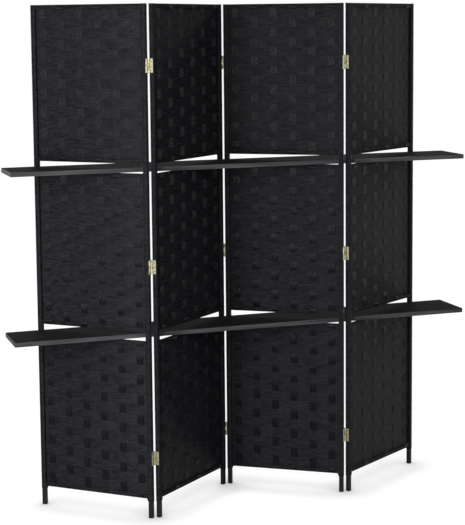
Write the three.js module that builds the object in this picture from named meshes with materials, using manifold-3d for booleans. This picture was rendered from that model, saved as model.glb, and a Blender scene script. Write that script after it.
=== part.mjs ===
// Folding screen of four woven panels that carry two levels of shelf boards.
// Millimetres, +Z up, X along the shelf boards, the front of the screen faces -Y.
// A panel is drawn flat, from x = 0 at its left edge to its right edge, then turned and placed.
import * as THREE from 'three';
import { mergeVertices } from 'three/addons/utils/BufferGeometryUtils.js';
import Module from 'manifold-3d';

const wasm = await Module();
wasm.setup();

// Panels
const panel_height = 1800;
const panel_width = 447.5;
const panel_gap = 1.6;
const leg_height = 69;
const slot_height = 33;
const section_names = ['lower', 'middle', 'upper'];
// How the three woven sections share the height that the legs and the slots leave
const section_shares = [0.339, 0.332, 0.329];
// How far each panel reaches back for its own width, from the left panel to the right one.
const reach_shares = [-0.6587, 0.6414, -0.5606, 0.5446];

// Free play between pieces that rest on each other or fit into each other
const play = 0.3;

// Posts
const post_width = 16;
const post_depth = 14;
const post_round = 1.2;

// Cords: the layer that they wrap round a post or a rail
const cord_layer = 1.8;
const wrap_round = post_round + cord_layer;

// Rails
const rail_height = 12;
const rail_depth_share = 0.72;
const rail_depth = post_depth * rail_depth_share;
const tenon_share = 0.65;
const tenon_length = post_width / 2;

// Woven fields
const field_depth = rail_depth;
const lower_fillet = 10;

// Hinges
const leaf_height = 48;
const leaf_share = 0.67;
const leaf_thickness = cord_layer * leaf_share;
const leaf_margin_share = 0.04;
const pin_lift = 1.2;
const knuckle_share = 0.8;
const pin_share = 0.5;
const head_share = 0.85;
const head_height = 1;
const knuckles = 3;
const window_margin = 1.5;
const hinge_height_shares = [0.258, 0.412, 0.615];

// Shelf boards
const board_thickness = 16;
const board_round = 1.5;
const board_fit_share = 0.907;
const crossing_share = 0.5762;
const left_overhang = 126;
const right_overhang = 114;
const board_joint_shares = [0.345, 0.688];
const board_gap = 0.5;
const dowel_share = 0.25;
const dowel_length = 20;
const dowel_spread_share = 0.27;

// Facets of a full circle, and of a quarter of a rounded corner
const circle_facets = 10;
const corner_steps = 1;

// Derived sizes
const woven_height = panel_height - leg_height - (section_names.length - 1) * slot_height;
const section_heights = section_shares.map((share) => share * woven_height);
const section_bottoms = section_heights.map((height, index) =>
  section_heights.slice(0, index).reduce((sum, lower) => sum + lower + slot_height, leg_height));
const post_centre = cord_layer + post_width / 2;
const panel_depth = post_depth + 2 * cord_layer;
const wrap_width = post_width + 2 * cord_layer;
const header_height = rail_height + 2 * cord_layer;
const header_depth = rail_depth + 2 * cord_layer;
const pin_reach = panel_depth / 2 + pin_lift;
const knuckle_radius = (pin_reach - post_depth / 2) * knuckle_share;
const pin_radius = knuckle_radius * pin_share;
const knuckle_height = leaf_height / knuckles;

const charcoal_wood = { color: 0x2a2c2e, roughness: 0.6, metalness: 0 };
const charcoal_cord = { color: 0x33363a, roughness: 0.85, metalness: 0 };
const brass = { color: 0xb08d4a, roughness: 0.35, metalness: 1 };

// Joining and cutting works on closed solids made from three's geometry.
function solidOf(geometry) {
  geometry.deleteAttribute('normal');
  geometry.deleteAttribute('uv');
  const merged = mergeVertices(geometry);
  return new wasm.Manifold(new wasm.Mesh({
    numProp: 3,
    vertProperties: new Float32Array(merged.attributes.position.array),
    triVerts: new Uint32Array(merged.index.array),
  }));
}

function meshOf(name, solid, look) {
  const data = solid.getMesh();
  const geometry = new THREE.BufferGeometry();
  geometry.setAttribute('position', new THREE.BufferAttribute(data.vertProperties, 3));
  geometry.setIndex(new THREE.BufferAttribute(data.triVerts, 1));
  geometry.computeVertexNormals();
  const mesh = new THREE.Mesh(geometry, new THREE.MeshStandardMaterial(look));
  mesh.name = name;
  return mesh;
}

// A rectangle with round corners, centred on the origin.
function roundedRectangle(width, depth, round) {
  const x = width / 2 - round;
  const y = depth / 2 - round;
  const shape = new THREE.Shape();
  shape.absarc(x, y, round, 0, Math.PI / 2);
  shape.absarc(-x, y, round, Math.PI / 2, Math.PI);
  shape.absarc(-x, -y, round, Math.PI, Math.PI * 3 / 2);
  shape.absarc(x, -y, round, Math.PI * 3 / 2, Math.PI * 2);
  return shape;
}

// A shape raised from one height to another.
function upright(shape, bottom, top) {
  const raised = new THREE.ExtrudeGeometry(shape, {
    depth: top - bottom, bevelEnabled: false, curveSegments: corner_steps,
  });
  return raised.translate(0, 0, bottom);
}

// A bar that lies along X, centred in the panel's depth.
function lyingBar(height, depth, round, left, right, centre_height) {
  return upright(roundedRectangle(height, depth, round), 0, right - left)
    .rotateY(Math.PI / 2)
    .translate(left, 0, centre_height);
}

function box(left, right, front, back, bottom, top) {
  return new THREE.BoxGeometry(right - left, back - front, top - bottom)
    .translate((left + right) / 2, (front + back) / 2, (bottom + top) / 2);
}

// Posts and hinge leaves are drawn for the left edge; the right edge is the mirror of it.
function acrossPanel(x, at_right) {
  return at_right ? panel_width - x : x;
}

function railHeights() {
  return section_bottoms.flatMap((bottom, index) => [
    bottom + header_height / 2,
    bottom + section_heights[index] - header_height / 2,
  ]);
}

function hingeBottoms() {
  return section_bottoms.map((bottom, index) =>
    bottom + hinge_height_shares[index] * section_heights[index] - leaf_height / 2);
}

// A round bar or bore on the hinge line.
function hingeRound(radius, bottom, top, at_right, pin_side) {
  return new THREE.CylinderGeometry(radius, radius, top - bottom, circle_facets)
    .rotateX(Math.PI / 2)
    .translate(acrossPanel(-panel_gap / 2, at_right), pin_side * pin_reach, (bottom + top) / 2);
}

// The flat plate of a leaf on the post's edge face, sunk into a post that it is joined with.
function leafPlate(bottom, at_right, pin_side, sink) {
  const outer = cord_layer - play - leaf_thickness;
  const far = post_depth * (1 - leaf_margin_share) / 2;
  const near = post_depth / 2;
  const corners = [
    [outer, -far], [cord_layer - play + sink, -far], [cord_layer - play + sink, near], [outer, near],
  ];
  const points = corners.map(([x, y]) => new THREE.Vector2(acrossPanel(x, at_right), pin_side * y));
  return solidOf(upright(new THREE.Shape(points), bottom, bottom + leaf_height));
}

// One knuckle with the strap that rolls from the plate's edge round the pin.
function leafKnuckle(bottom, top, at_right, pin_side) {
  const outer = cord_layer - play - leaf_thickness;
  const inner = cord_layer - play;
  const slant = Math.SQRT1_2;
  const centre_x = -panel_gap / 2;
  const strap_start = post_depth / 2 - play;
  const outside = pin_reach + knuckle_radius * 2 * slant - (inner - centre_x);
  const inside = pin_reach + (knuckle_radius - leaf_thickness) * 2 * slant - (outer - centre_x);
  const corners = [
    [outer, strap_start],
    [inner, strap_start],
    [inner, outside],
    [centre_x + knuckle_radius * slant, pin_reach + knuckle_radius * slant],
    [centre_x, pin_reach],
    [outer, Math.max(inside, strap_start + play)],
  ];
  const points = corners.map(([x, y]) => new THREE.Vector2(acrossPanel(x, at_right), pin_side * y));
  const strap = solidOf(upright(new THREE.Shape(points), bottom, top));
  return strap.add(solidOf(hingeRound(knuckle_radius, bottom, top, at_right, pin_side)));
}

function pinBore(bottom, at_right, pin_side) {
  return solidOf(hingeRound(pin_radius + play, bottom - play, bottom + leaf_height + play, at_right, pin_side));
}

// The leaf that is its own piece, on a left post: the middle knuckle and the pin belong to it.
function leafWithPin(bottom, pin_side) {
  const head = pin_radius + (knuckle_radius - pin_radius) * head_share;
  const knuckle_bottom = bottom + knuckle_height + play / 2;
  const knuckle_top = bottom + leaf_height - knuckle_height - play / 2;
  const low = bottom - play;
  const high = bottom + leaf_height + play;
  return leafPlate(bottom, false, pin_side, 0)
    .add(leafKnuckle(knuckle_bottom, knuckle_top, false, pin_side))
    .add(solidOf(hingeRound(pin_radius, low - head_height / 2, high + head_height / 2, false, pin_side)))
    .add(solidOf(hingeRound(head, low - head_height, low, false, pin_side)))
    .add(solidOf(hingeRound(head, high, high + head_height, false, pin_side)));
}

// The leaf that takes the pin, joined with a right post: the two end knuckles belong to it.
function leafOnPost(bottom, pin_side) {
  const sink = 2 * play;
  const first_top = bottom + knuckle_height - play / 2;
  const last_bottom = bottom + leaf_height - knuckle_height + play / 2;
  return leafPlate(bottom, true, pin_side, sink)
    .add(leafKnuckle(bottom, first_top, true, pin_side))
    .add(leafKnuckle(last_bottom, bottom + leaf_height, true, pin_side))
    .subtract(pinBore(bottom, true, pin_side));
}

// A post with rounded ends and a blind mortise for each rail.
function postSolid(at_right) {
  const shape = roundedRectangle(post_width, post_depth, post_round);
  const stick = new THREE.ExtrudeGeometry(shape, {
    depth: panel_height - 2 * post_round,
    bevelEnabled: true,
    bevelThickness: post_round,
    bevelSize: post_round,
    bevelOffset: -post_round,
    bevelSegments: corner_steps + 1,
    curveSegments: corner_steps,
  }).translate(acrossPanel(post_centre, at_right), 0, post_round);
  const inner_face = acrossPanel(cord_layer + post_width, at_right);
  const mortise_end = acrossPanel(cord_layer + post_width - tenon_length - play, at_right);
  const past_face = acrossPanel(wrap_width, at_right);
  const half_depth = rail_depth * tenon_share / 2 + play;
  const half_height = rail_height * tenon_share / 2 + play;
  return railHeights().reduce((solid, height) => solid.subtract(solidOf(box(
    Math.min(mortise_end, past_face), Math.max(mortise_end, past_face),
    -half_depth, half_depth,
    height - half_height, height + half_height,
  ))), solidOf(stick));
}

function railSolid(height) {
  const left = cord_layer + post_width + play;
  const right = panel_width - left;
  const rail = solidOf(box(
    left, right, -rail_depth / 2, rail_depth / 2, height - rail_height / 2, height + rail_height / 2,
  ));
  const tenon = box(
    left - play - tenon_length, right + play + tenon_length,
    -rail_depth * tenon_share / 2, rail_depth * tenon_share / 2,
    height - rail_height * tenon_share / 2, height + rail_height * tenon_share / 2,
  );
  return rail.add(solidOf(tenon));
}

// The woven field between the posts, from the middle of one header to the middle of the other
function fieldSolid(bottom, top) {
  const left = cord_layer + post_width;
  const right = panel_width - left;
  return solidOf(box(
    left, right, -field_depth / 2, field_depth / 2, bottom + header_height / 2, top - header_height / 2,
  ));
}

// The cords run a little further down the post below the lowest section, in a hollow curve.
function lowerFillet(bottom, at_right) {
  const side = wrap_width;
  const centre_x = acrossPanel(side + lower_fillet, at_right);
  const shape = new THREE.Shape();
  shape.moveTo(acrossPanel(side - cord_layer, at_right), bottom - lower_fillet);
  shape.lineTo(acrossPanel(side, at_right), bottom - lower_fillet);
  shape.absarc(
    centre_x, bottom - lower_fillet, lower_fillet,
    at_right ? 0 : Math.PI, Math.PI / 2, !at_right,
  );
  shape.lineTo(centre_x, bottom + header_height / 2);
  shape.lineTo(acrossPanel(side - cord_layer, at_right), bottom + header_height / 2);
  const plate = new THREE.ExtrudeGeometry(shape, {
    depth: field_depth, bevelEnabled: false, curveSegments: corner_steps,
  });
  return solidOf(plate.rotateX(Math.PI / 2).translate(0, field_depth / 2, 0));
}

function wovenSolid(section, hinge_sides) {
  const bottom = section_bottoms[section];
  const top = bottom + section_heights[section];
  const wrap_bottom = section === 0 ? bottom - lower_fillet : bottom;
  let solid = fieldSolid(bottom, top);
  for (const at_right of [false, true]) {
    const centre = acrossPanel(post_centre, at_right);
    const wrap = upright(roundedRectangle(wrap_width, panel_depth, wrap_round), wrap_bottom, top);
    solid = solid.add(solidOf(wrap.translate(centre, 0, 0)));
    if (section === 0) {
      solid = solid.add(lowerFillet(bottom, at_right));
    }
  }
  const header_left = post_centre;
  const header_right = panel_width - post_centre;
  const heights = [bottom + header_height / 2, top - header_height / 2];
  for (const height of heights) {
    const header = lyingBar(header_height, header_depth, cord_layer, header_left, header_right, height);
    solid = solid.add(solidOf(header));
  }
  for (const height of heights) {
    const half_depth = rail_depth / 2 + play;
    const half_height = rail_height / 2 + play;
    const bore = box(
      header_left, header_right, -half_depth, half_depth, height - half_height, height + half_height,
    );
    solid = solid.subtract(solidOf(bore));
  }
  for (const at_right of [false, true]) {
    const shape = roundedRectangle(post_width + 2 * play, post_depth + 2 * play, post_round + play);
    const bore = upright(shape, wrap_bottom - play, top + play);
    solid = solid.subtract(solidOf(bore.translate(acrossPanel(post_centre, at_right), 0, 0)));
  }
  for (const at_right of hinge_sides) {
    const low = hingeBottoms()[section] - window_margin;
    const outside = acrossPanel(-panel_gap, at_right);
    const inside = acrossPanel(cord_layer + play, at_right);
    solid = solid.subtract(solidOf(box(
      Math.min(outside, inside), Math.max(outside, inside),
      -panel_depth, panel_depth,
      low, low + leaf_height + 2 * window_margin,
    )));
  }
  return solid;
}

// The hinge line on a panel's right edge lies behind it, then before it, by turns.
function pinSide(line) {
  return line % 2 === 0 ? 1 : -1;
}

function panelGroup(number) {
  const group = new THREE.Group();
  group.name = `panel_${number}`;
  const first = number === 1;
  const last = number === reach_shares.length;
  const left_side = pinSide(number - 2);
  const right_side = pinSide(number - 1);
  let right_post = postSolid(true);
  if (!last) {
    for (const bottom of hingeBottoms()) {
      right_post = right_post.add(leafOnPost(bottom, right_side));
    }
  }
  group.add(meshOf(`post_${number}_left`, postSolid(false), charcoal_wood));
  group.add(meshOf(`post_${number}_right`, right_post, charcoal_wood));
  const hinge_sides = [...(first ? [] : [false]), ...(last ? [] : [true])];
  section_names.forEach((name, section) => {
    group.add(meshOf(`woven_${number}_${name}`, wovenSolid(section, hinge_sides), charcoal_cord));
    ['bottom', 'top'].forEach((end, index) => {
      const height = railHeights()[section * 2 + index];
      group.add(meshOf(`rail_${number}_${name}_${end}`, railSolid(height), charcoal_wood));
    });
    if (!first) {
      const leaf = leafWithPin(hingeBottoms()[section], left_side);
      group.add(meshOf(`hinge_leaf_${number}_${name}`, leaf, brass));
    }
  });
  return group;
}

// Each panel hangs on the hinge line of the one before it.
const turns = reach_shares.map((share) => Math.asin(share));
const places = [new THREE.Vector2(0, 0)];
for (let index = 1; index < turns.length; index += 1) {
  const side = pinSide(index - 1);
  const before = new THREE.Vector2(panel_width + panel_gap / 2, side * pin_reach)
    .rotateAround(new THREE.Vector2(), turns[index - 1]);
  const after = new THREE.Vector2(-panel_gap / 2, side * pin_reach)
    .rotateAround(new THREE.Vector2(), turns[index]);
  places.push(places[index - 1].clone().add(before).sub(after));
}

const screen = new THREE.Group();
screen.name = 'folding_screen_with_shelves';
turns.forEach((turn, index) => {
  const panel = panelGroup(index + 1);
  panel.rotation.z = turn;
  panel.position.set(places[index].x, places[index].y, 0);
  screen.add(panel);
});

// The boards' middle line crosses the second panel. Their depth is what the flattest panel lets through.
const crossing = panel_width * crossing_share;
const board_centre = places[1].y + crossing * Math.sin(turns[1]);
const clear_width = panel_width - 2 * wrap_width;
const flattest = Math.min(...turns.map((turn) => Math.abs(turn)));
const board_depth = board_fit_share * (clear_width * Math.sin(flattest) - panel_depth * Math.cos(flattest));
const last_turn = turns[turns.length - 1];
const strip_left = places[0].x - left_overhang;
const strip_right = places[places.length - 1].x + panel_width * Math.cos(last_turn) + right_overhang;
const strip_length = strip_right - strip_left;

// The outer boards carry the dowels and the middle board has the bores for them.
function boardSolid(side, bottom) {
  const joints = board_joint_shares.map((share) => strip_left + share * strip_length);
  const edges = [strip_left, joints[0], joints[1], strip_right];
  const left = edges[side + 1] + (side > -1 ? board_gap / 2 : 0);
  const right = edges[side + 2] - (side < 1 ? board_gap / 2 : 0);
  const height = bottom + board_thickness / 2;
  const dowel_radius = board_thickness * dowel_share;
  const board = lyingBar(board_thickness, board_depth, board_round, left, right, height);
  let solid = solidOf(board.translate(0, board_centre, 0));
  for (const spread of [-dowel_spread_share, dowel_spread_share]) {
    const y = board_centre + spread * board_depth;
    const round = (radius, from, to) => solidOf(
      new THREE.CylinderGeometry(radius, radius, to - from, circle_facets)
        .rotateZ(Math.PI / 2)
        .translate((from + to) / 2, y, height),
    );
    if (side < 0) {
      solid = solid.add(round(dowel_radius, right - dowel_length, right + dowel_length));
    } else if (side > 0) {
      solid = solid.add(round(dowel_radius, left - dowel_length, left + dowel_length));
    } else {
      const deep = dowel_length + play;
      solid = solid.subtract(round(dowel_radius + play, left - play, left + deep));
      solid = solid.subtract(round(dowel_radius + play, right - deep, right + play));
    }
  }
  return solid;
}

['lower', 'upper'].forEach((level, index) => {
  const bottom = section_bottoms[index] + section_heights[index] + play;
  ['left', 'middle', 'right'].forEach((place, side) => {
    screen.add(meshOf(`board_${level}_${place}`, boardSolid(side - 1, bottom), charcoal_wood));
  });
});

// The origin is the middle of the footprint, on the floor.
const extent = new THREE.Box3().setFromObject(screen);
screen.children.forEach((child) => {
  child.position.x -= (extent.min.x + extent.max.x) / 2;
  child.position.y -= (extent.min.y + extent.max.y) / 2;
});

const group = new THREE.Group();
group.name = 'screen';
group.add(screen);

export default group;
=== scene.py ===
"""Folding screen with shelves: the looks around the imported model, in metres."""

import math

import bpy
import numpy as np
from mathutils import Matrix, Vector


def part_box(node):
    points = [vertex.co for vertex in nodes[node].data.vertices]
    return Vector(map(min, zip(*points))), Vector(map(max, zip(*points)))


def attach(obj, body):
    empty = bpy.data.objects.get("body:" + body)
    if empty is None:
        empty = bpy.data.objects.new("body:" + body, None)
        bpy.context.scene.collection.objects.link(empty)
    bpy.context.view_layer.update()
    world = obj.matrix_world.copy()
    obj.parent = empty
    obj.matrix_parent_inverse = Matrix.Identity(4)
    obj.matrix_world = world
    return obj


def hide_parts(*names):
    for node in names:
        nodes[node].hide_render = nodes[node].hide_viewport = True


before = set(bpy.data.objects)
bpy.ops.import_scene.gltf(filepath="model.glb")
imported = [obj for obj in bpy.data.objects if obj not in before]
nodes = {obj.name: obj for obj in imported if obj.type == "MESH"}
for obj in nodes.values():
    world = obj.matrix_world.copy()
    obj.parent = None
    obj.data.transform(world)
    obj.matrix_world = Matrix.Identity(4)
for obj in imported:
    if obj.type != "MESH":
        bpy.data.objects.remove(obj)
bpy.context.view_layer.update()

# Camera. It stands to the left of the screen, a little below the top of the panels, and looks
# slightly down. Place, turn and lens were fitted to the edges of the panels and the boards.
camera_place = Vector((-1.703, -4.92, 1.7154))
camera_yaw = math.radians(18.703)
camera_pitch = math.radians(6.363)
camera_roll = math.radians(-0.527)
focal_length = 99.28
film_width = 36
film_shift = -0.14

lens = bpy.data.cameras.new("camera")
lens.lens = focal_length
lens.sensor_width = film_width
lens.shift_y = film_shift
camera = bpy.data.objects.new("camera", lens)
bpy.context.scene.collection.objects.link(camera)
camera.matrix_world = (
    Matrix.Translation(camera_place)
    @ Matrix.Rotation(-camera_yaw, 4, "Z")
    @ Matrix.Rotation(math.pi / 2 - camera_pitch, 4, "X")
    @ Matrix.Rotation(camera_roll, 4, "Z")
)
bpy.context.scene.camera = camera
bpy.context.scene.view_settings.view_transform = "Standard"


# Floor and air. The floor is pale and keeps the soft shadow of the screen. What the camera, gloss
# and glass see of it is lifted to plain white, fully so away from the screen. Where a foot or the
# lower edge of a panel is close above it, the lift is cut further, which paints a contact shadow.
floor_size = 60
floor_colour = (0.16, 0.16, 0.161, 1)
plain_white = (1, 1, 1, 1)
lift_near = 0.955
shadow_reach = 1.6
white_reach = 4.0
painted_contact_shadow_reach = 0.15
painted_contact_shadow_depth = 0.55
nearest_share = 0.7
sky_level = 0.1


def add(tree, kind, wired=None, **settings):
    """A node with its settings, and with each input linked to a socket or set to a value."""
    node = tree.nodes.new(kind)
    for name, value in settings.items():
        setattr(node, name, value)
    for key, value in (wired or {}).items():
        if isinstance(value, bpy.types.NodeSocket):
            tree.links.new(value, node.inputs[key])
        else:
            node.inputs[key].default_value = value
    return node


def new_material(name):
    """An empty material with its output node."""
    material = bpy.data.materials.new(name)
    material.use_nodes = True
    material.node_tree.nodes.clear()
    return material, material.node_tree, add(material.node_tree, "ShaderNodeOutputMaterial")


def tree_maths(tree):
    """Short calls for the sums of a node tree."""
    def sum_node(operation, *values):
        return add(tree, "ShaderNodeMath", dict(enumerate(values)), operation=operation).outputs[0]
    return sum_node


def object_place(tree):
    """Where a shaded point is, in the coordinates of its object."""
    return add(tree, "ShaderNodeTexCoord").outputs["Object"]


def mapped(tree, value, taken=(0.0, 1.0), given=(0.0, 1.0), **settings):
    """A value mapped from one range to another and kept within it."""
    ends = {"Value": value, "From Min": taken[0], "From Max": taken[1]}
    ends.update({"To Min": given[0], "To Max": given[1]})
    return add(tree, "ShaderNodeMapRange", ends, **settings).outputs[0]


def seen_directly(tree):
    """1 for the rays that look at the background: those of the camera, gloss and glass."""
    m = tree_maths(tree)
    path = add(tree, "ShaderNodeLightPath").outputs
    camera_or_gloss = m("MAXIMUM", path["Is Camera Ray"], path["Is Glossy Ray"])
    return m("MAXIMUM", camera_or_gloss, path["Is Transmission Ray"])


floor_finish, tree, output = new_material("pale_floor")
m = tree_maths(tree)
ground = add(tree, "ShaderNodeBsdfDiffuse", {"Color": floor_colour})
distance = add(tree, "ShaderNodeVectorMath", {0: object_place(tree)}, operation="LENGTH")
lift = mapped(
    tree, distance.outputs["Value"], (shadow_reach, white_reach), (lift_near, 1.0),
    interpolation_type="SMOOTHSTEP",
)
# painted contact shadow: the white glow is cut where the screen is close above the floor
occlusion_for_painted_shadow = add(tree, "ShaderNodeAmbientOcclusion", {"Distance": painted_contact_shadow_reach}).outputs["AO"]
painted_contact_shadow = mapped(tree, occlusion_for_painted_shadow, (nearest_share, 1.0), (painted_contact_shadow_depth, 1.0))
lifted = m("MULTIPLY", seen_directly(tree), m("MULTIPLY", lift, painted_contact_shadow))
glow = add(tree, "ShaderNodeEmission", {"Color": plain_white, "Strength": lifted})
both = add(tree, "ShaderNodeAddShader", {0: ground.outputs[0], 1: glow.outputs[0]})
tree.links.new(both.outputs[0], output.inputs["Surface"])

half = floor_size / 2
floor_corners = [(-half, -half, 0), (half, -half, 0), (half, half, 0), (-half, half, 0)]
floor_mesh = bpy.data.meshes.new("floor")
floor_mesh.from_pydata(floor_corners, [], [(0, 1, 2, 3)])
floor_mesh.materials.append(floor_finish)
floor = bpy.data.objects.new("floor", floor_mesh)
bpy.context.scene.collection.objects.link(floor)

world = bpy.data.worlds.new("air")
bpy.context.scene.world = world
world.use_nodes = True
tree = world.node_tree
tree.nodes.clear()
soft = add(tree, "ShaderNodeBackground", {"Color": plain_white, "Strength": sky_level})
white = add(tree, "ShaderNodeBackground", {"Color": plain_white, "Strength": 1.0})
mixed = add(
    tree, "ShaderNodeMixShader", {0: seen_directly(tree), 1: soft.outputs[0], 2: white.outputs[0]}
)
tree.links.new(mixed.outputs[0], add(tree, "ShaderNodeOutputWorld").inputs["Surface"])


# Lamps. Tall soft lamps, as of a studio: one on the left shines along the cords of the panels that
# face left, one in front lights the upright cords of the others, a broad weak one on the right
# lifts what both leave dark, and one behind lights the back. All face the middle of the screen.
screen_middle = Vector((0, 0, 0.9))
lamps = (
    # name, place, width, height and power in watts
    ("left_lamp", (-3.0, -1.6, 1.35), 0.7, 2.3, 98),
    ("front_lamp", (-1.8, -2.9, 1.35), 0.7, 2.3, 82),
    ("right_lamp", (2.6, -1.2, 1.3), 1.6, 2.2, 30),
    ("back_lamp", (-2.4, 2.6, 1.2), 1.2, 1.5, 45),
)
for name, place, width, height, power in lamps:
    lamp = bpy.data.lights.new(name, "AREA")
    lamp.shape = "RECTANGLE"
    lamp.size = width
    lamp.size_y = height
    lamp.energy = power
    holder = bpy.data.objects.new(name, lamp)
    holder.location = place
    holder.rotation_euler = (screen_middle - Vector(place)).to_track_quat("-Z", "Y").to_euler()
    bpy.context.scene.collection.objects.link(holder)


# Cord. Twisted paper cord, dyed charcoal: the twist shows as slanting lines along each cord, and
# the dye takes a little unevenly. The upright cords are hard and have a faint silky shine. Those
# that run across and round the posts are softer and duller, and painted paler: a painted sheen.
upright_dark = (0.0012, 0.0013, 0.0018, 1)
upright_pale = (0.0058, 0.0062, 0.0082, 1)
upright_shine = 0.1
# the cords across are painted paler than the upright ones, a painted sheen; their streaks are
# uneven dye
across_dark_painted_sheen = (0.0055, 0.0058, 0.007, 1)
across_pale_painted_sheen = (0.0155, 0.0162, 0.0188, 1)
across_shine = 0.045
twist_length = 0.0042
twist_share = 0.35
streak_length = 0.028
streak_detail = 3.0
dye_ends = (0.36, 0.64)
fibre_scale = 420.0
fibre_detail = 3.0
sheen_ends = (0.3, 0.7)
cord_roughness = (0.19, 0.26)
cord_relief = (0.2, 0.0003)


def between(tree, share, first, second):
    """The colour that lies between two colours."""
    mix = add(tree, "ShaderNodeMix", {0: share, 6: first, 7: second}, data_type="RGBA")
    return mix.outputs[2]


def noise(tree, place, scale, detail, distortion=0.0):
    """The outputs of a noise texture."""
    inputs = {"Vector": place, "Scale": scale, "Detail": detail, "Distortion": distortion}
    return add(tree, "ShaderNodeTexNoise", inputs).outputs


def surfaced(tree, output, colour, roughness, height, relief, constants):
    """The surface of a material, wired to its output. Its relief is a strength and a depth."""
    strength, depth = relief
    bump = add(tree, "ShaderNodeBump", {"Height": height, "Strength": strength, "Distance": depth})
    varied = {"Base Color": colour, "Roughness": roughness, "Normal": bump.outputs[0]}
    surface = add(tree, "ShaderNodeBsdfPrincipled", {**varied, **constants})
    tree.links.new(surface.outputs[0], output.inputs["Surface"])
    return surface


def paper_cord(name, dark, pale, shine):
    """Twisted paper cord, for meshes that know the way along and around each of their cords."""
    material, tree, output = new_material(name)
    m = tree_maths(tree)
    cord_way = add(tree, "ShaderNodeAttribute", attribute_name="cord_way").outputs["Vector"]
    way = add(tree, "ShaderNodeSeparateXYZ", {0: cord_way}).outputs
    turns = m("ADD", m("MULTIPLY", way["X"], 1 / twist_length), way["Y"])
    twist = m("SINE", m("MULTIPLY", turns, 2 * math.pi))
    along = m("MULTIPLY", way["X"], 1 / streak_length)
    streak_place = add(tree, "ShaderNodeCombineXYZ", {0: along, 1: way["Z"]}).outputs[0]
    streaks = noise(tree, streak_place, 1.0, streak_detail)["Fac"]
    fibres = noise(tree, object_place(tree), fibre_scale, fibre_detail)["Fac"]
    colour = between(tree, mapped(tree, streaks, dye_ends), dark, pale)
    roughness = mapped(tree, streaks, sheen_ends, cord_roughness)
    height = m("ADD", m("MULTIPLY", twist, twist_share), fibres)
    surfaced(tree, output, colour, roughness, height, cord_relief, {"Specular IOR Level": shine})
    return material


upright_finish = paper_cord("hard_charcoal_paper_cord", upright_dark, upright_pale, upright_shine)
across_finish_with_painted_sheen = paper_cord("charcoal_paper_cord_with_painted_sheen", across_dark_painted_sheen, across_pale_painted_sheen, across_shine)


# Woven sections. In each section cords run across from post to post, twelve to a band, and pass in
# front of one bundle of upright cords and behind the next; the next band does it the other way
# round. The same cord is wrapped round the posts and the rails.
cord = 0.0033
upright_cord = 0.0033
bundles = 6
cords_in_bundle = 8
bands = 15
cords_in_band = 12
wrap = 0.0018
post_width = 0.016
post_depth = 0.014
post_round = 0.0012
rail_height = 0.012
rail_depth = 0.01008
rail_inset = 0.0098
window_half = 0.0255
fillet = 0.010

# how a section is laid out, as shares of its width, of the wrapping or of a cord
first_bundle_share = 0.1
bundle_pitch_share = 0.16
post_side_share = 1.5
pressed_share = 0.5
upright_swing_share = 0.7
cord_sides = 6
dye_step = 7.31

# the cords that run across: how flat their waves and the cords are, and how they stray
across_points = 33
across_steepness = 1.5
across_spread = 0.0004
spread_power = 3.0
stray_scale_along = 12.0
stray_scale_up = 400.0
stray_height = 0.0005
across_width_share = 1.2
across_thinning = 1.15

# the upright cords
upright_points = 46
upright_steepness = 2.4
upright_pitch_share = 0.99
upright_radius_share = 0.51

# their short runs over the rails
run_points = 5
run_inset = 0.0042
run_shortening = 0.002
run_tuck = 0.0015
run_end_share = 0.45
run_reach_share = 0.85
run_band_share = 0.25

# the cords that cover the rails
sheath_cords = 15
sheath_points = 24
sheath_sides = 5
sheath_slack_across = 0.0008
sheath_slack_up = 0.0001
sheath_round = 0.0015
shake_scale = 45.0
shake_reach = (0.0, 0.0006, 0.0003)

# the rings of cord round the posts
ring_pitch_share = 0.97
ring_corner_points = 2
ring_round_more = 0.0005
window_margin = 0.0003


def vector(tree, x=0.0, y=0.0, z=0.0):
    """A vector made of its three parts."""
    return add(tree, "ShaderNodeCombineXYZ", {0: x, 1: y, 2: z}).outputs[0]


def geometry_tree(name, lengths, counts):
    """A Geometry Nodes tree that takes lengths and counts by name."""
    tree = bpy.data.node_groups.new(name, "GeometryNodeTree")
    for way in ("INPUT", "OUTPUT"):
        tree.interface.new_socket("Geometry", in_out=way, socket_type="NodeSocketGeometry")
    for names, kind in ((lengths, "NodeSocketFloat"), (counts, "NodeSocketInt")):
        for socket_name in names:
            tree.interface.new_socket(socket_name, in_out="INPUT", socket_type=kind)
    return tree


def point_place(tree):
    """The X, Y and Z of each point."""
    place = add(tree, "GeometryNodeInputPosition").outputs[0]
    return add(tree, "ShaderNodeSeparateXYZ", {0: place}).outputs


def shifted(tree, geometry, offset):
    """A geometry with each of its points moved."""
    inputs = {"Geometry": geometry, "Offset": offset}
    return add(tree, "GeometryNodeSetPosition", inputs).outputs[0]


def straight(tree, start, end, count):
    """A straight curve of evenly spaced points."""
    line = add(tree, "GeometryNodeCurvePrimitiveLine", {"Start": start, "End": end}).outputs[0]
    return add(tree, "GeometryNodeResampleCurve", {"Curve": line, "Count": count}).outputs[0]


def copied(tree, points, shape):
    """A real copy of a shape at each point."""
    inputs = {"Points": points, "Instance": shape}
    copies = add(tree, "GeometryNodeInstanceOnPoints", inputs).outputs[0]
    return add(tree, "GeometryNodeRealizeInstances", {0: copies}).outputs[0]


def rows(tree, curve, first, step, count):
    """Copies of a curve, set one above another."""
    start, offset = vector(tree, z=first), vector(tree, z=step)
    inputs = {"Count": count, "Start Location": start, "Offset": offset}
    return copied(tree, add(tree, "GeometryNodeMeshLine", inputs).outputs[0], curve)


def joined(tree, parts):
    """Several geometries as one."""
    join = add(tree, "GeometryNodeJoinGeometry")
    for part in parts:
        tree.links.new(part, join.inputs[0])
    return join.outputs[0]


def kept(tree, geometry, name, value, **settings):
    """A geometry that remembers a value, and the value it remembers."""
    capture = add(tree, "GeometryNodeCaptureAttribute", {0: geometry}, **settings)
    capture.capture_items.new("FLOAT", name)
    tree.links.new(value, capture.inputs[1])
    return capture.outputs[0], capture.outputs[1]


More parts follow.
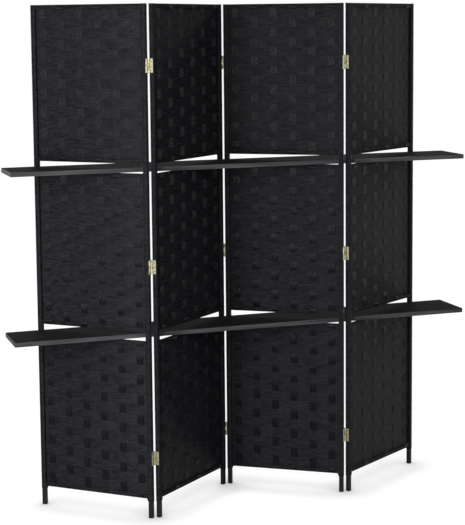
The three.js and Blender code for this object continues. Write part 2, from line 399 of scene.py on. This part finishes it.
def tubes(tree, curves, radius, sides, pressed=(1.0, 1.0)):
    """Curves made into cords, round or pressed flat, that remember the way along and around."""
    circle = add(tree, "GeometryNodeCurvePrimitiveCircle", {"Resolution": sides, "Radius": radius})
    inputs = {"Geometry": circle.outputs[0], "Scale": (*pressed, 1.0)}
    profile = add(tree, "GeometryNodeTransform", inputs).outputs[0]
    share = add(tree, "GeometryNodeSplineParameter").outputs["Factor"]
    profile, around = kept(tree, profile, "around", share)
    length = add(tree, "GeometryNodeSplineParameter").outputs["Length"]
    curves, along = kept(tree, curves, "along", length)
    index = add(tree, "GeometryNodeInputIndex").outputs[0]
    curves, own = kept(tree, curves, "own", index, domain="CURVE")
    inputs = {"Curve": curves, "Profile Curve": profile, "Fill Caps": True}
    cords = add(tree, "GeometryNodeCurveToMesh", inputs).outputs[0]
    cord_way = vector(tree, along, around, tree_maths(tree)("MULTIPLY", own, dye_step))
    inputs = {"Geometry": cords, "Name": "cord_way", "Value": cord_way}
    return add(
        tree, "GeometryNodeStoreNamedAttribute", inputs, data_type="FLOAT_VECTOR"
    ).outputs[0]


weave = geometry_tree(
    "woven_section",
    (
        "Width", "Bottom", "Top", "Wrap Bottom", "Wrap Top", "Left Hinge", "Right Hinge",
        "First Band Front", "Cord", "Upright Cord", "Wrap", "Post Width", "Post Depth",
        "Post Round", "Rail Height", "Rail Depth", "Window Half", "Fillet",
    ),
    ("Bundles", "Cords in Bundle", "Bands", "Cords in Band"),
)
given = add(weave, "NodeGroupInput").outputs
m = tree_maths(weave)

cord_radius = m("MULTIPLY", given["Cord"], 0.5)
two_wraps = m("MULTIPLY", given["Wrap"], 2.0)
header = m("ADD", given["Rail Height"], two_wraps)
field_low = m("ADD", given["Bottom"], header)
field_high = m("SUBTRACT", given["Top"], header)
band = m("DIVIDE", m("SUBTRACT", field_high, field_low), given["Bands"])
row_step = m("DIVIDE", band, given["Cords in Band"])
row_count = m("MULTIPLY", given["Bands"], given["Cords in Band"])
first_bundle = m("MULTIPLY", given["Width"], first_bundle_share)
bundle_pitch = m("MULTIPLY", given["Width"], bundle_pitch_share)
post_side = m("ADD", given["Post Width"], m("MULTIPLY", given["Wrap"], post_side_share))
left_side = vector(weave, post_side)
right_side = vector(weave, m("SUBTRACT", given["Width"], post_side))
radii = m("ADD", cord_radius, m("MULTIPLY", given["Upright Cord"], 0.5))
layers = m("MULTIPLY", radii, pressed_share)
across_swing = m("MULTIPLY", layers, 1.0 - upright_swing_share)
upright_swing = m("MULTIPLY", layers, upright_swing_share)
upright_radius = m("MULTIPLY", given["Upright Cord"], upright_radius_share)


def flattened(wave, steepness):
    """A wave made steeper, with its tops cut flat."""
    return m("MAXIMUM", m("MINIMUM", m("MULTIPLY", wave, steepness), 1.0), -1.0)


def from_first_bundle(x):
    """How many bundles an X is away from the first one."""
    return m("DIVIDE", m("SUBTRACT", x, first_bundle), bundle_pitch)


def upright_wave(x, band_place):
    """The wave of the bundle at an X, which turns over with each band and from bundle to bundle."""
    turn_about = m("ADD", m("ROUND", from_first_bundle(x)), given["First Band Front"])
    return m("SINE", m("MULTIPLY", m("ADD", band_place, turn_about), math.pi))


# the cords that run across
across = straight(weave, left_side, right_side, across_points)
first_row = m("ADD", field_low, m("MULTIPLY", row_step, 0.5))
across = rows(weave, across, first_row, row_step, row_count)
xyz = point_place(weave)
band_number = m("FLOOR", m("DIVIDE", m("SUBTRACT", xyz["Z"], field_low), band))
band_turn = m("FLOORED_MODULO", m("ADD", band_number, given["First Band Front"]), 2.0)
band_side = m("SUBTRACT", m("MULTIPLY", band_turn, 2.0), 1.0)
past_first = m("MULTIPLY", m("SUBTRACT", xyz["X"], first_bundle), math.pi)
flat_wave = flattened(m("COSINE", m("DIVIDE", past_first, bundle_pitch)), across_steepness)
bulge = m("MULTIPLY", m("MULTIPLY", flat_wave, band_side), -1.0)
band_middle = m("ADD", field_low, m("MULTIPLY", m("ADD", band_number, 0.5), band))
in_band = m("DIVIDE", m("SUBTRACT", xyz["Z"], band_middle), m("MULTIPLY", band, 0.5))
spread = m("MULTIPLY", m("POWER", in_band, spread_power), m("ABSOLUTE", flat_wave))
spread = m("MULTIPLY", spread, across_spread)
stray_x = m("MULTIPLY", xyz["X"], stray_scale_along)
stray_z = m("MULTIPLY", xyz["Z"], stray_scale_up)
stray = noise(weave, vector(weave, stray_x, 0.0, stray_z), 1.0, 1.0)["Fac"]
stray = m("MULTIPLY", m("SUBTRACT", stray, 0.5), stray_height)
moved = vector(weave, 0.0, m("MULTIPLY", bulge, across_swing), m("ADD", spread, stray))
across = shifted(weave, across, moved)
across = add(weave, "GeometryNodeSetCurveNormal", {"Curve": across}, mode="Z_UP").outputs[0]
across_radius = m("MULTIPLY", cord_radius, across_width_share)
across_pressed = (pressed_share / across_thinning, 1.0)
across = tubes(weave, across, across_radius, cord_sides, across_pressed)

# the bundles of upright cords
foot = vector(weave, z=m("ADD", given["Bottom"], given["Wrap"]))
head = vector(weave, z=m("SUBTRACT", given["Top"], given["Wrap"]))
upright = straight(weave, foot, head, upright_points)
cord_count = m("MULTIPLY", given["Bundles"], given["Cords in Bundle"])
spots = add(weave, "GeometryNodeMeshLine", {"Count": cord_count}).outputs[0]
index = add(weave, "GeometryNodeInputIndex").outputs[0]
bundle_number = m("FLOOR", m("DIVIDE", index, given["Cords in Bundle"]))
cord_number = m("FLOORED_MODULO", index, given["Cords in Bundle"])
middle_cord = m("MULTIPLY", m("SUBTRACT", given["Cords in Bundle"], 1.0), 0.5)
cord_pitch = m("MULTIPLY", given["Upright Cord"], upright_pitch_share)
cord_place = m("MULTIPLY", m("SUBTRACT", cord_number, middle_cord), cord_pitch)
bundle_x = m("ADD", first_bundle, m("MULTIPLY", bundle_number, bundle_pitch))
spot = vector(weave, m("ADD", bundle_x, cord_place))
spots = add(weave, "GeometryNodeSetPosition", {"Geometry": spots, "Position": spot}).outputs[0]
upright = copied(weave, spots, upright)
xyz = point_place(weave)
band_place = m("DIVIDE", m("SUBTRACT", xyz["Z"], field_low), band)
flat_wave = flattened(upright_wave(xyz["X"], band_place), upright_steepness)
above_low = m("GREATER_THAN", xyz["Z"], field_low)
inside_field = m("MULTIPLY", above_low, m("LESS_THAN", xyz["Z"], field_high))
swing = m("MULTIPLY", flat_wave, m("MULTIPLY", upright_swing, -1.0))
upright = shifted(weave, upright, vector(weave, 0.0, m("MULTIPLY", swing, inside_field)))
upright = tubes(weave, upright, upright_radius, cord_sides, (1.0, pressed_share))

# the short upright runs in front of and behind the rails, where the bundles pass over their cords
run_length = m("SUBTRACT", header, run_shortening)
run = straight(weave, vector(weave), vector(weave, z=run_length), run_points)
runs = copied(weave, spots, run)
low_run = m("ADD", given["Bottom"], run_inset)
high_run = m("SUBTRACT", m("SUBTRACT", given["Top"], run_inset), run_length)
runs = rows(weave, runs, low_run, m("SUBTRACT", high_run, low_run), 2)
xyz = point_place(weave)
half_way = m("MULTIPLY", m("ADD", given["Bottom"], given["Top"]), 0.5)
past_bands = m("ADD", given["Bands"], 2 * run_band_share)
to_top = m("MULTIPLY", m("GREATER_THAN", xyz["Z"], half_way), past_bands)
run_side = m("SIGN", upright_wave(xyz["X"], m("SUBTRACT", to_top, run_band_share)))
way_up = add(weave, "GeometryNodeSplineParameter").outputs["Factor"]
from_run_middle = m("ABSOLUTE", m("SUBTRACT", way_up, 0.5))
tuck = m("MULTIPLY", m("GREATER_THAN", from_run_middle, run_end_share), run_tuck)
half_rail = m("MULTIPLY", given["Rail Depth"], 0.5)
run_reach = m("ADD", half_rail, m("MULTIPLY", given["Cord"], run_reach_share))
run_y = m("MULTIPLY", m("MULTIPLY", run_side, m("SUBTRACT", run_reach, tuck)), -1.0)
runs = shifted(weave, runs, vector(weave, 0.0, run_y))
runs = tubes(weave, runs, upright_radius, cord_sides, (1.0, pressed_share))

# the cords that cover the two rails
sheath_depth = m("ADD", given["Rail Depth"], sheath_slack_across)
sheath_height = m("ADD", given["Rail Height"], sheath_slack_up)
sheath = add(
    weave, "GeometryNodeCurvePrimitiveQuadrilateral",
    {"Width": sheath_depth, "Height": sheath_height},
).outputs[0]
sheath = add(
    weave, "GeometryNodeFilletCurve", {"Curve": sheath, "Radius": sheath_round}, mode="POLY"
).outputs[0]
sheath = add(weave, "GeometryNodeResampleCurve", {"Curve": sheath, "Count": sheath_cords})
across_the_panel = {"Geometry": sheath.outputs[0], "Rotation": (math.pi / 2, 0, math.pi / 2)}
sheath = add(weave, "GeometryNodeTransform", across_the_panel).outputs[0]
sheath = copied(weave, sheath, straight(weave, left_side, right_side, sheath_points))
half_header = m("MULTIPLY", header, 0.5)
lower_rail = m("ADD", given["Bottom"], half_header)
upper_rail = m("SUBTRACT", given["Top"], half_header)
sheath = rows(weave, sheath, lower_rail, m("SUBTRACT", upper_rail, lower_rail), 2)
place = add(weave, "GeometryNodeInputPosition").outputs[0]
shake = noise(weave, place, shake_scale, 1.0)["Color"]
for operation, values in (("SUBTRACT", (0.5, 0.5, 0.5)), ("MULTIPLY", shake_reach)):
    shake = add(weave, "ShaderNodeVectorMath", {0: shake, 1: values}, operation=operation)
    shake = shake.outputs[0]
sheath = tubes(weave, shifted(weave, sheath, shake), cord_radius, sheath_sides)

# the cord wrapped round the posts, left open where a hinge leaf sits on the wood
ring_width = m("SUBTRACT", m("ADD", given["Post Width"], two_wraps), given["Cord"])
ring_depth = m("SUBTRACT", m("ADD", given["Post Depth"], two_wraps), given["Cord"])
ring = add(
    weave, "GeometryNodeCurvePrimitiveQuadrilateral", {"Width": ring_width, "Height": ring_depth}
).outputs[0]
ring_round = m("ADD", given["Post Round"], ring_round_more)
ring = add(
    weave, "GeometryNodeFilletCurve",
    {"Curve": ring, "Radius": ring_round, "Count": ring_corner_points}, mode="POLY",
).outputs[0]
post_x = m("ADD", m("MULTIPLY", given["Post Width"], 0.5), given["Wrap"])
post_step = m("SUBTRACT", given["Width"], m("MULTIPLY", post_x, 2.0))
pair = add(
    weave, "GeometryNodeMeshLine",
    {"Count": 2, "Start Location": vector(weave, post_x), "Offset": vector(weave, post_step)},
).outputs[0]
ring = copied(weave, pair, ring)
wrap_height = m("SUBTRACT", given["Wrap Top"], given["Wrap Bottom"])
ring_pitch = m("MULTIPLY", given["Cord"], ring_pitch_share)
ring_count = m("ROUND", m("DIVIDE", wrap_height, ring_pitch))
ring_step = m("DIVIDE", wrap_height, ring_count)
first_ring = m("ADD", given["Wrap Bottom"], m("MULTIPLY", ring_step, 0.5))
rings = rows(weave, ring, first_ring, ring_step, ring_count)

# the rings below the lowest rail widen inwards, into the rounded inner corner at the rail
xyz = point_place(weave)
far_side = m("SUBTRACT", given["Width"], xyz["X"])
inward = m("SUBTRACT", m("MINIMUM", xyz["X"], far_side), post_x)
inner_share = m("MINIMUM", m("DIVIDE", inward, m("SUBTRACT", post_x, given["Cord"])), 1.0)
inner_share = m("MAXIMUM", inner_share, 0.0)
rise = m("ADD", m("SUBTRACT", xyz["Z"], given["Bottom"]), given["Fillet"])
rise = m("MINIMUM", m("MAXIMUM", rise, 0.0), given["Fillet"])
rise = m("MULTIPLY", rise, m("LESS_THAN", xyz["Z"], given["Bottom"]))
reach = m("SUBTRACT", m("POWER", given["Fillet"], 2.0), m("POWER", rise, 2.0))
flare = m("MULTIPLY", m("SUBTRACT", given["Fillet"], m("SQRT", reach)), inner_share)
flare = m("MULTIPLY", flare, m("SIGN", m("SUBTRACT", far_side, xyz["X"])))
rings = shifted(weave, rings, vector(weave, flare))
rings = tubes(weave, rings, cord_radius, cord_sides)
xyz = point_place(weave)
window_edge = m("ADD", given["Wrap"], window_margin)


def in_window(side, hinge):
    """1 on the outer side of a post, at the height of its hinge."""
    outside = m("LESS_THAN", side, window_edge)
    from_hinge = m("ABSOLUTE", m("SUBTRACT", xyz["Z"], hinge))
    return m("MULTIPLY", outside, m("LESS_THAN", from_hinge, given["Window Half"]))


left_window = in_window(xyz["X"], given["Left Hinge"])
right_window = in_window(m("SUBTRACT", given["Width"], xyz["X"]), given["Right Hinge"])
windows = {"Geometry": rings, "Selection": m("MAXIMUM", left_window, right_window)}
rings = add(weave, "GeometryNodeDeleteGeometry", windows, domain="FACE").outputs[0]

# all the cords together, each with its finish
marked = {"Geometry": joined(weave, (runs, upright)), "Name": "stands_upright", "Value": True}
upright = add(
    weave, "GeometryNodeStoreNamedAttribute", marked, data_type="BOOLEAN", domain="FACE"
).outputs[0]
cords = joined(weave, (rings, sheath, upright, across))
smooth = add(weave, "GeometryNodeSetShadeSmooth", {"Geometry": cords}).outputs[0]
cords = add(weave, "GeometryNodeRealizeInstances", {0: smooth}).outputs[0]
finish = {"Geometry": cords, "Material": across_finish_with_painted_sheen}
cords = add(weave, "GeometryNodeSetMaterial", finish).outputs[0]
stands = add(
    weave, "GeometryNodeInputNamedAttribute", {"Name": "stands_upright"}, data_type="BOOLEAN"
).outputs[0]
finish = {"Geometry": cords, "Selection": stands, "Material": upright_finish}
cords = add(weave, "GeometryNodeSetMaterial", finish).outputs[0]
weave.links.new(cords, add(weave, "NodeGroupOutput").inputs[0])


def grown(tree, name, sizes, matrix):
    """The plain mesh that a tree makes from its sizes, set in place."""
    seed = bpy.data.meshes.new(name)
    piece = bpy.data.objects.new(name, seed)
    bpy.context.scene.collection.objects.link(piece)
    modifier = piece.modifiers.new(name, "NODES")
    modifier.node_group = tree
    sockets = tree.interface.items_tree
    identifiers = {item.name: item.identifier for item in sockets if item.in_out == "INPUT"}
    for size_name, value in sizes.items():
        modifier[identifiers[size_name]] = value
    bpy.context.view_layer.update()
    shown = piece.evaluated_get(bpy.context.evaluated_depsgraph_get())
    plain = bpy.data.meshes.new_from_object(shown)
    piece.modifiers.remove(modifier)
    piece.data = plain
    bpy.data.meshes.remove(seed)
    plain.name = name
    plain.transform(matrix)
    return piece


def corners(name):
    """A CAD node's own corner points."""
    return np.array([vertex.co for vertex in nodes[name].data.vertices])


def panel_matrix(number):
    """Where a panel's left edge stands and which way the panel runs, read from its lowest rail."""
    points = np.unique(corners(f"rail_{number}_lower_bottom").round(6), axis=0)
    middle = (points.min(axis=0) + points.max(axis=0)) / 2
    flat = points[:, :2] - middle[:2]
    along = np.linalg.svd(flat, full_matrices=False)[2][0]
    along *= np.sign(along[0])
    width = 2 * (np.abs(flat @ along).max() + rail_inset)
    start = middle[:2] - along * width / 2
    turn = Matrix.Rotation(math.atan2(along[1], along[0]), 4, "Z")
    return Matrix.Translation((*start, 0)) @ turn, float(width)


levels = ("lower", "middle", "upper")
panels = (1, 2, 3, 4)
hinge_middles = {}
for level in levels:
    low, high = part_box(f"hinge_leaf_2_{level}")
    hinge_middles[level] = (low[2] + high[2]) / 2
for number in panels:
    matrix, width = panel_matrix(number)
    for row, level in enumerate(levels):
        low_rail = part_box(f"rail_{number}_{level}_bottom")
        high_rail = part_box(f"rail_{number}_{level}_top")
        bottom = low_rail[0][2] - wrap
        top = high_rail[1][2] + wrap
        above = levels[row + 1] if row < 2 else None
        next_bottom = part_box(f"rail_{number}_{above}_bottom")[0][2] - wrap if above else top
        piece = grown(
            weave, f"weave_{number}_{level}",
            {
                "Width": width, "Bottom": bottom, "Top": top,
                "Wrap Bottom": bottom - fillet if row == 0 else bottom, "Wrap Top": next_bottom,
                "Left Hinge": hinge_middles[level] if number > panels[0] else 0.0,
                "Right Hinge": hinge_middles[level] if number < panels[-1] else 0.0,
                "First Band Front": float(row % 2), "Cord": cord, "Upright Cord": upright_cord,
                "Wrap": wrap, "Post Width": post_width, "Post Depth": post_depth,
                "Post Round": post_round, "Rail Height": rail_height, "Rail Depth": rail_depth,
                "Window Half": window_half, "Fillet": fillet, "Bundles": bundles,
                "Cords in Bundle": cords_in_bundle, "Bands": bands,
                "Cords in Band": cords_in_band,
            },
            matrix,
        )
        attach(piece, f"panel_{number}")
        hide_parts(f"woven_{number}_{level}")


# Posts, rails and boards. Plain softwood, planed, its edges broken, stained and lacquered black.
# The grain is faint in the stain. The edge faces of the boards are painted paler than their tops
# and bottoms: painted light, as it falls on the board fronts.
wood_dark = (0.005, 0.0051, 0.0056, 1)
wood_pale = (0.013, 0.013, 0.0138, 1)
wood_roughness = 0.4
wood_shine = 0.08
board_dark = (0.004, 0.004, 0.0046, 1)
board_pale = (0.012, 0.012, 0.0135, 1)
board_roughness = 0.7
board_shine = 0.02
painted_light_edge_dark = (0.03, 0.03, 0.0325, 1)
painted_light_edge_pale = (0.08, 0.08, 0.085, 1)
edge_inset = 0.0002
grain_stretch = (0.06, 1.0, 1.0)
grain_fineness = 90.0
grain_detail = 5.0
grain_distortion = 0.6
grain_ends = (0.3, 0.7)
pore_fineness = 5.0
pore_detail = 3.0
pore_ends = (0.3, 0.45)
pore_roughness = 0.15
pore_relief = (0.35, 0.0003)


def shader_group(name, takes, gives):
    """A group of shader nodes with named inputs and outputs, and the sockets at its two ends."""
    group = bpy.data.node_groups.new(name, "ShaderNodeTree")
    for socket_name, kind in takes.items():
        group.interface.new_socket(socket_name, in_out="INPUT", socket_type=kind)
    for socket_name in gives:
        group.interface.new_socket(socket_name, in_out="OUTPUT", socket_type="NodeSocketFloat")
    return group, add(group, "NodeGroupInput").outputs, add(group, "NodeGroupOutput").inputs


def stained_wood():
    """Grain of stained wood that runs along the X of the vector it is given."""
    takes = {"Vector": "NodeSocketVector", "Fineness": "NodeSocketFloat"}
    group, taken, given = shader_group("stained_wood", takes, ("Grain", "Pores"))
    stretch = {"Vector": taken["Vector"], "Scale": grain_stretch}
    drawn_out = add(group, "ShaderNodeMapping", stretch).outputs[0]
    rings = noise(group, drawn_out, taken["Fineness"], grain_detail, grain_distortion)["Fac"]
    fine = tree_maths(group)("MULTIPLY", taken["Fineness"], pore_fineness)
    streaks = noise(group, drawn_out, fine, pore_detail)["Fac"]
    group.links.new(rings, given["Grain"])
    group.links.new(mapped(group, streaks, pore_ends), given["Pores"])
    return group


wood_grain = stained_wood()


def black_wood(name, turn, dark, pale, roughness, shine):
    """Stained wood whose grain runs along X once turned, with its surface and shade of stain."""
    material, tree, output = new_material(name)
    turned = add(tree, "ShaderNodeMapping", {"Vector": object_place(tree), "Rotation": turn})
    grain = add(tree, "ShaderNodeGroup", node_tree=wood_grain)
    tree.links.new(turned.outputs[0], grain.inputs["Vector"])
    grain.inputs["Fineness"].default_value = grain_fineness
    shade = mapped(tree, grain.outputs["Grain"], grain_ends)
    pores = grain.outputs["Pores"]
    gloss = mapped(tree, pores, given=(roughness + pore_roughness, roughness))
    surface = surfaced(
        tree, output, between(tree, shade, dark, pale), gloss, pores, pore_relief,
        {"Specular IOR Level": shine},
    )
    return material, surface, shade


def post_wood(name):
    """The wood of posts and rails, with its surface."""
    upright = (0, math.pi / 2, 0)
    return black_wood(name, upright, wood_dark, wood_pale, wood_roughness, wood_shine)[:2]


def finished_with(name, material):
    """A CAD node with one material."""
    nodes[name].data.materials.clear()
    nodes[name].data.materials.append(material)


upright_wood, surface = post_wood("black_post_wood")
board_wood, surface, shade = black_wood(
    "black_board_wood", (0, 0, 0), board_dark, board_pale, board_roughness, board_shine
)
tree = board_wood.node_tree
m = tree_maths(tree)
# painted light: the edge faces of the boards, found by their height, get a paler colour than the
# wide faces
board_z = add(tree, "ShaderNodeSeparateXYZ", {0: object_place(tree)}).outputs["Z"]
from_middle = 1.0
for level in ("lower", "upper"):
    low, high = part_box(f"board_{level}_middle")
    off_middle = m("ABSOLUTE", m("SUBTRACT", board_z, (low[2] + high[2]) / 2))
    from_middle = m("MINIMUM", off_middle, from_middle)
on_painted_light_edge = m("LESS_THAN", from_middle, (high[2] - low[2]) / 2 - edge_inset)
face_colour = surface.inputs["Base Color"].links[0].from_socket
painted_light_edge_colour = between(tree, shade, painted_light_edge_dark, painted_light_edge_pale)
tree.links.new(between(tree, on_painted_light_edge, face_colour, painted_light_edge_colour), surface.inputs["Base Color"])
for name in nodes:
    if name.startswith(("post_", "rail_")):
        finished_with(name, upright_wood)
    if name.startswith("board_"):
        finished_with(name, board_wood)


# Hinges. Loose-pin butt hinges of sheet brass, their leaves screwed to the edge faces of the posts
# where the wrapping is left open. The brass has dulled: its shine is uneven and finely scratched.
brass_bright = (0.5, 0.48, 0.33, 1)
brass_dull = (0.2, 0.19, 0.13, 1)
# the screw heads are a darker brass than the leaves: painted shade of their slots and seats
screw_bright_painted_shade = (0.2, 0.18, 0.12, 1)
screw_dull_painted_shade = (0.1, 0.09, 0.065, 1)
leaf_edge = 0.00175
tarnish_scale = 140.0
tarnish_detail = 4.0
tarnish_ends = (0.35, 0.65)
scratch_stretch = (1.0, 1.0, 0.05)
scratch_scale = 1800.0
scratch_detail = 2.0
brass_roughness = (0.28, 0.5)
brass_relief = (0.25, 0.0001)


def aged_metal():
    """Tarnish and fine upright scratches of a worn metal fitting."""
    takes = {"Vector": "NodeSocketVector"}
    group, taken, given = shader_group("aged_metal", takes, ("Tarnish", "Scratches"))
    clouds = noise(group, taken["Vector"], tarnish_scale, tarnish_detail)["Fac"]
    stretch = {"Vector": taken["Vector"], "Scale": scratch_stretch}
    drawn_out = add(group, "ShaderNodeMapping", stretch).outputs[0]
    lines = noise(group, drawn_out, scratch_scale, scratch_detail)["Fac"]
    group.links.new(mapped(group, clouds, tarnish_ends), given["Tarnish"])
    group.links.new(lines, given["Scratches"])
    return group


metal_wear = aged_metal()


def worn_brass(tree, place, bright, dull):
    """Colour, roughness and height of dulled brass."""
    wear = add(tree, "ShaderNodeGroup", node_tree=metal_wear)
    tree.links.new(place, wear.inputs["Vector"])
    tarnish = wear.outputs["Tarnish"]
    dullness = mapped(tree, tarnish, given=brass_roughness)
    return between(tree, tarnish, bright, dull), dullness, wear.outputs["Scratches"]


def brass_finish(name, bright, dull):
    """A material of dulled brass."""
    material, tree, output = new_material(name)
    worn = worn_brass(tree, object_place(tree), bright, dull)
    surfaced(tree, output, *worn, brass_relief, {"Metallic": 1.0})
    return material


leaf_brass = brass_finish("dulled_brass", brass_bright, brass_dull)
screw_brass_painted_shade = brass_finish("screw_brass_with_painted_shade", screw_bright_painted_shade, screw_dull_painted_shade)
for name in nodes:
    if name.startswith("hinge_leaf_"):
        finished_with(name, leaf_brass)


def post_with_leaves(name, matrix, width):
    """Stained wood, and brass on all that stands out of the post's right edge face."""
    material, surface = post_wood(name)
    tree = material.node_tree
    place = object_place(tree)
    back = matrix.inverted()
    in_panel = add(
        tree, "ShaderNodeMapping",
        {"Vector": place, "Location": back.to_translation(), "Rotation": back.to_euler()},
    )
    across_panel = add(tree, "ShaderNodeSeparateXYZ", {0: in_panel.outputs[0]}).outputs["X"]
    on_leaf = tree_maths(tree)("GREATER_THAN", across_panel, width - leaf_edge)
    colour, dullness, _ = worn_brass(tree, place, brass_bright, brass_dull)
    wood_colour = surface.inputs["Base Color"].links[0].from_socket
    wood_gloss = surface.inputs["Roughness"].links[0].from_socket
    gloss = add(tree, "ShaderNodeMix", {0: on_leaf, 2: wood_gloss, 3: dullness}, data_type="FLOAT")
    tree.links.new(between(tree, on_leaf, wood_colour, colour), surface.inputs["Base Color"])
    tree.links.new(gloss.outputs[0], surface.inputs["Roughness"])
    tree.links.new(on_leaf, surface.inputs["Metallic"])
    return material


for number in panels[:-1]:
    matrix, width = panel_matrix(number)
    both_finishes = post_with_leaves(f"post_wood_and_brass_{number}", matrix, width)
    finished_with(f"post_{number}_right", both_finishes)


# Hinge screws. Three slotted countersunk screws hold each leaf, their heads all but flush with it
# so that the hinge can close, each turned as it happened to come home.
screws_in_leaf = 3
leaf_face = 0.000294
screw_spread = 0.016
head_radius = 0.0024
head_rise = 0.0002
head_sides = 16
rim_share = 0.94
rim_points = 9
slot_width = 0.0006
seat_rise = 0.00003
same_point = 0.00001
screw_seed = 7
seed_scale = 1000.0
turn_step = 1.1

screws = geometry_tree(
    "leaf_screws",
    (
        "Width", "Leaf Face", "Lower Hinge", "Middle Hinge", "Upper Hinge", "Spread",
        "Head Radius", "Head Rise", "Slot Width", "Seat Rise",
    ),
    ("Screws Left", "Screws Right"),
)
given = add(screws, "NodeGroupInput").outputs
m = tree_maths(screws)

# the head: a thin disc, and on it two half discs with the slot between them
seat_size = {"Vertices": head_sides, "Radius": given["Head Radius"], "Depth": given["Head Rise"]}
seat = add(screws, "GeometryNodeMeshCylinder", seat_size).outputs[0]
seat_middle = m("SUBTRACT", given["Seat Rise"], m("MULTIPLY", given["Head Rise"], 0.5))
set_back = {"Geometry": seat, "Translation": vector(screws, z=seat_middle)}
seat = add(screws, "GeometryNodeTransform", set_back).outputs[0]
rim = m("MULTIPLY", given["Head Radius"], rim_share)
slot_angle = m("ARCSINE", m("DIVIDE", m("MULTIPLY", given["Slot Width"], 0.5), rim))
sweep = m("SUBTRACT", math.pi, m("MULTIPLY", slot_angle, 2.0))
arc = add(
    screws, "GeometryNodeCurveArc",
    {"Resolution": rim_points, "Radius": rim, "Start Angle": slot_angle, "Sweep Angle": sweep},
).outputs[0]
closed = add(screws, "GeometryNodeSetSplineCyclic", {"Geometry": arc, "Cyclic": True}).outputs[0]
flat = add(screws, "GeometryNodeFillCurve", {"Curve": closed}, mode="NGONS").outputs[0]
raised = add(
    screws, "GeometryNodeExtrudeMesh",
    {
        "Mesh": flat, "Offset": vector(screws, z=1.0), "Offset Scale": given["Head Rise"],
        "Individual": False,
    },
).outputs[0]
under = add(screws, "GeometryNodeFlipFaces", {"Mesh": flat}).outputs[0]
loose_half = {"Geometry": joined(screws, (raised, under)), "Distance": same_point}
half_head = add(screws, "GeometryNodeMergeByDistance", loose_half).outputs[0]
turned_half = {"Geometry": half_head, "Rotation": (0, 0, math.pi)}
other_half = add(screws, "GeometryNodeTransform", turned_half).outputs[0]
whole_head = joined(screws, (seat, half_head, other_half))
facing_right = {"Geometry": whole_head, "Rotation": (0, math.pi / 2, 0)}
head = add(screws, "GeometryNodeTransform", facing_right).outputs[0]

# a line of them in each leaf
lines_of_screws = []
right_face = m("SUBTRACT", given["Width"], given["Leaf Face"])
sides = ((given["Leaf Face"], "Screws Left", math.pi), (right_face, "Screws Right", 0.0))
for face, count, about in sides:
    for hinge in ("Lower Hinge", "Middle Hinge", "Upper Hinge"):
        lowest = vector(screws, face, z=m("SUBTRACT", given[hinge], given["Spread"]))
        step = vector(screws, z=given["Spread"])
        line = add(
            screws, "GeometryNodeMeshLine",
            {"Count": given[count], "Start Location": lowest, "Offset": step},
        ).outputs[0]
        own_number = m("MULTIPLY", given[hinge], seed_scale)
        home = add(
            screws, "FunctionNodeRandomValue",
            {2: 0.0, 3: math.pi, "ID": own_number, "Seed": screw_seed}, data_type="FLOAT",
        ).outputs[1]
        index = add(screws, "GeometryNodeInputIndex").outputs[0]
        turn = vector(screws, m("ADD", home, m("MULTIPLY", index, turn_step)), z=about)
        placed = {"Points": line, "Instance": head, "Rotation": turn}
        lines_of_screws.append(add(screws, "GeometryNodeInstanceOnPoints", placed).outputs[0])
heads = joined(screws, lines_of_screws)
heads = add(screws, "GeometryNodeRealizeInstances", {0: heads}).outputs[0]
finish = {"Geometry": heads, "Material": screw_brass_painted_shade}
heads = add(screws, "GeometryNodeSetMaterial", finish).outputs[0]
screws.links.new(heads, add(screws, "NodeGroupOutput").inputs[0])

for number in panels:
    matrix, width = panel_matrix(number)
    piece = grown(
        screws, f"hinge_screws_{number}",
        {
            "Width": width, "Leaf Face": leaf_face, "Lower Hinge": hinge_middles["lower"],
            "Middle Hinge": hinge_middles["middle"], "Upper Hinge": hinge_middles["upper"],
            "Spread": screw_spread, "Head Radius": head_radius, "Head Rise": head_rise,
            "Slot Width": slot_width, "Seat Rise": seat_rise,
            "Screws Left": screws_in_leaf if number > panels[0] else 0,
            "Screws Right": screws_in_leaf if number < panels[-1] else 0,
        },
        matrix,
    )
    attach(piece, f"panel_{number}")
